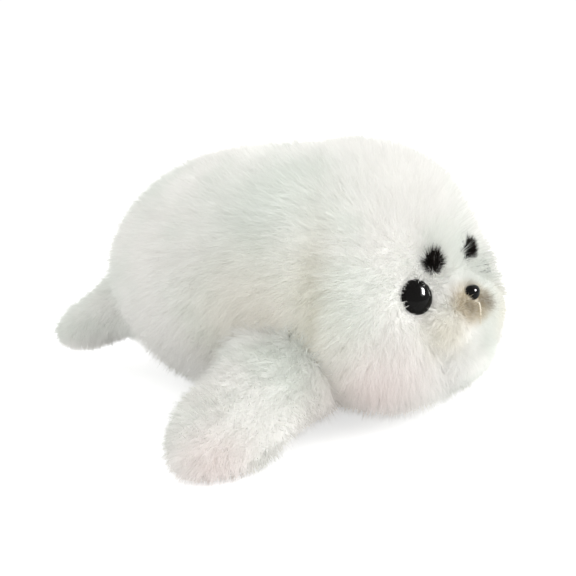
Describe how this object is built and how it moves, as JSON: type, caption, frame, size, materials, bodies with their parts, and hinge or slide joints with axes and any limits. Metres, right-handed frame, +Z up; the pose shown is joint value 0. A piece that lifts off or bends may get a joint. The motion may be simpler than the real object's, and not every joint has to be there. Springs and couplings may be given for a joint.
{
  "type": "plush seal",
  "caption": "Plush white seal pup lying on its belly: long-pile body, short-pile muzzle, spread flippers, glossy black plastic eyes and nose, black brow tufts.",
  "frame": {"origin": "on the floor under the middle of the part's box, at the level of the flat of the belly", "axes": "+Z up; the seal looks along -Y, so +Y is its tail end; +X is its left side"},
  "size_m": [0.3229, 0.3038, 0.1585],
  "materials": {
    "white_pile": "long off-white synthetic pile with cream and grey tints",
    "short_pile": "short cream pile, tinted tan around the nose",
    "black_pile": "black pile tuft",
    "black_plastic": "glossy black",
    "washer_plastic": "plain white, inside the stuffing",
    "thread": "pale stitching thread"
  },
  "bodies": {
    "root": {"body": "white_pile", "muzzle": "short_pile", "front_flipper_right": "white_pile", "front_flipper_left": "white_pile", "rear_flipper_right": "white_pile", "rear_flipper_left": "white_pile", "brow_right": "black_pile", "brow_left": "black_pile", "eye_right": "black_plastic", "eye_left": "black_plastic", "nose": "black_plastic", "eye_right_washer": "washer_plastic", "eye_left_washer": "washer_plastic", "nose_washer": "washer_plastic", "mouth_stitch": "thread"}
  },
  "joints": []
}
